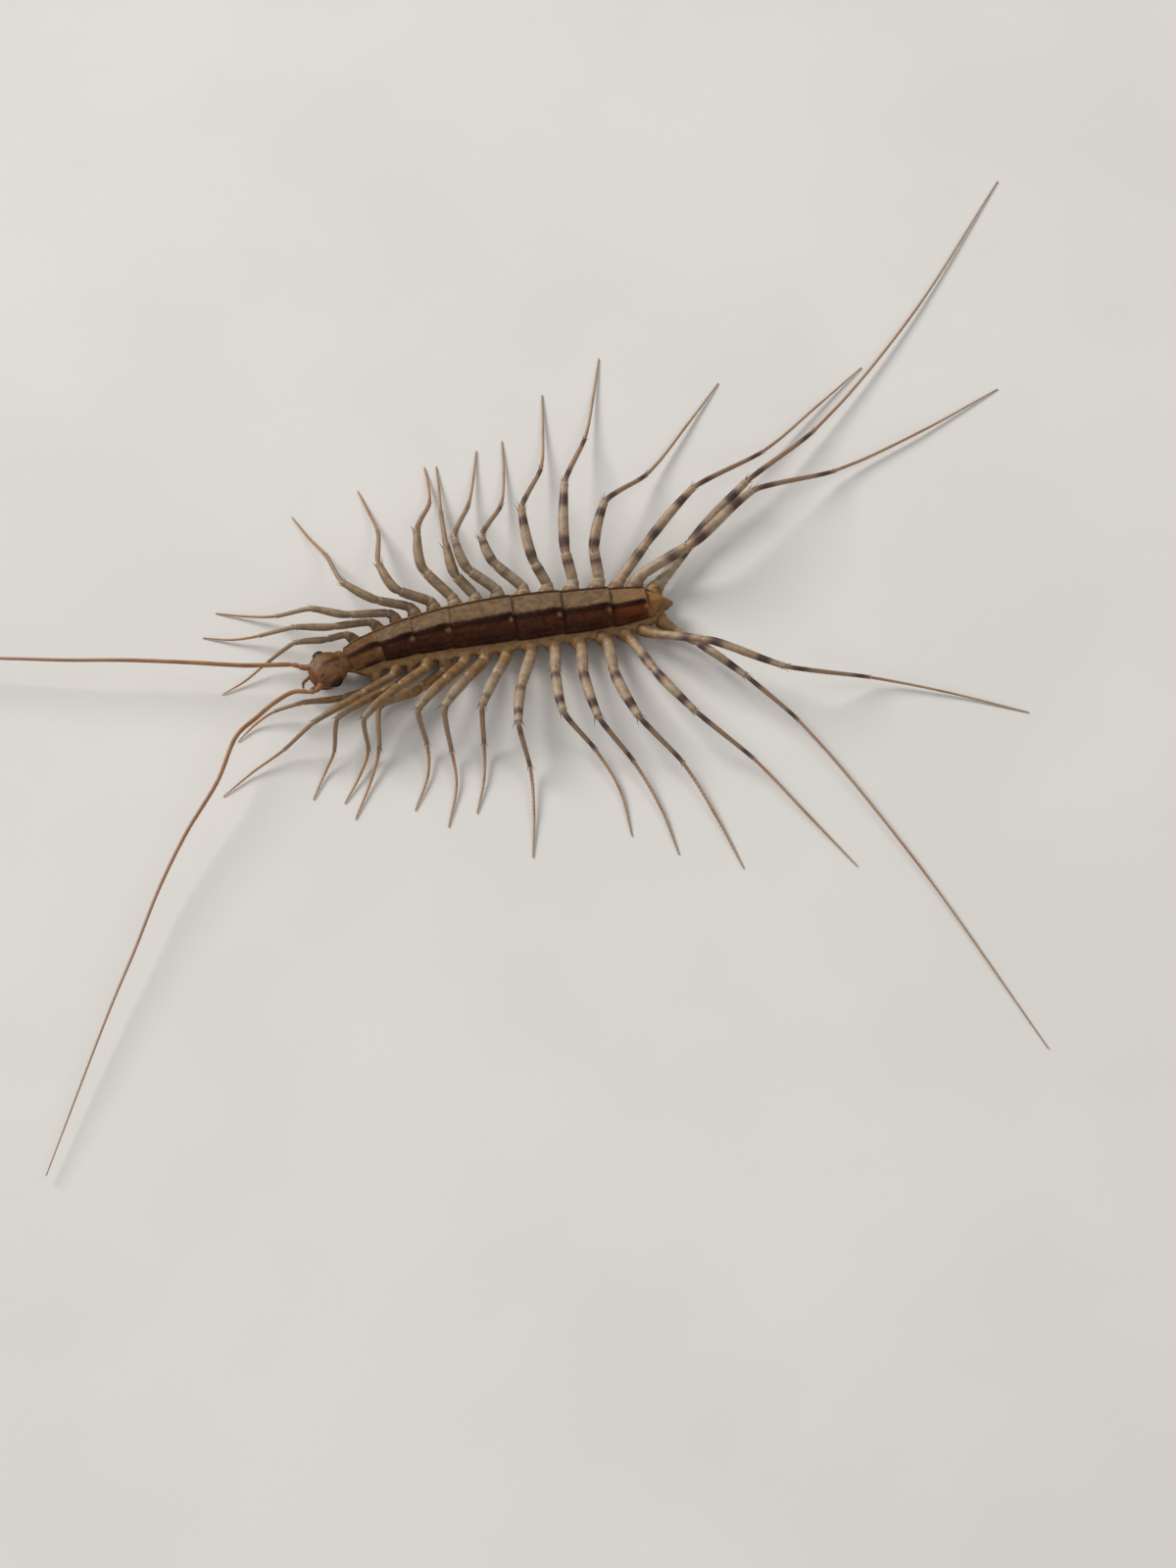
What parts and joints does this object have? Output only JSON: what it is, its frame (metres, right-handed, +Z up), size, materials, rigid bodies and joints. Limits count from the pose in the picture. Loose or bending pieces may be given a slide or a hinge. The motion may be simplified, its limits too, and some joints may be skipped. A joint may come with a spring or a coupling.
{
  "type": "house centipede",
  "caption": "Still, life-size house centipede resting on its splayed, ringed legs, with striped back plates, dark eyes and long antennae.",
  "frame": {"origin": "on the floor, below the middle of the whole spread of legs and antennae", "axes": "+X along the body from head to tail, +Y towards the animal's right side, +Z up from the floor"},
  "size_m": [0.112, 0.0802, 0.0045],
  "materials": {
    "back_plate": "satin chitin, grey-tan with three dark brown stripes",
    "head": "satin chitin, yellow-ochre to orange-brown with dark brown marks",
    "eye": "glossy black, finely faceted",
    "mouthpart": "satin orange-brown chitin with dark tips",
    "antenna": "satin, finely ringed, orange-brown fading to tan",
    "leg": "satin beige chitin with dark violet-brown rings and orange-tan tarsi"
  },
  "bodies": {
    "root": {"head": "head", "eye_r": "eye", "forcipule_r": "mouthpart", "palp_r": "mouthpart", "antenna_r_1": "antenna", "antenna_r_2": "antenna", "antenna_r_3": "antenna", "leg_r_01": "leg", "leg_r_02": "leg", "leg_r_03": "leg", "leg_r_04": "leg", "leg_r_05": "leg", "leg_r_06": "leg", "leg_r_07": "leg", "leg_r_08": "leg", "leg_r_09": "leg", "leg_r_10": "leg", "leg_r_11": "leg", "leg_r_12": "leg", "leg_r_13": "leg", "leg_r_14": "leg", "leg_r_15": "leg", "eye_l": "eye", "forcipule_l": "mouthpart", "palp_l": "mouthpart", "antenna_l_1": "antenna", "antenna_l_2": "antenna", "antenna_l_3": "antenna", "leg_l_01": "leg", "leg_l_02": "leg", "leg_l_03": "leg", "leg_l_04": "leg", "leg_l_05": "leg", "leg_l_06": "leg", "leg_l_07": "leg", "leg_l_08": "leg", "leg_l_09": "leg", "leg_l_10": "leg", "leg_l_11": "leg", "leg_l_12": "leg", "leg_l_13": "leg", "leg_l_14": "leg", "leg_l_15": "leg", "trunk_1": "back_plate", "trunk_2": "back_plate", "trunk_3": "back_plate", "trunk_4": "back_plate", "trunk_5": "back_plate", "trunk_6": "back_plate", "trunk_7": "back_plate", "trunk_8": "back_plate", "telson": "back_plate"}
  },
  "joints": []
}
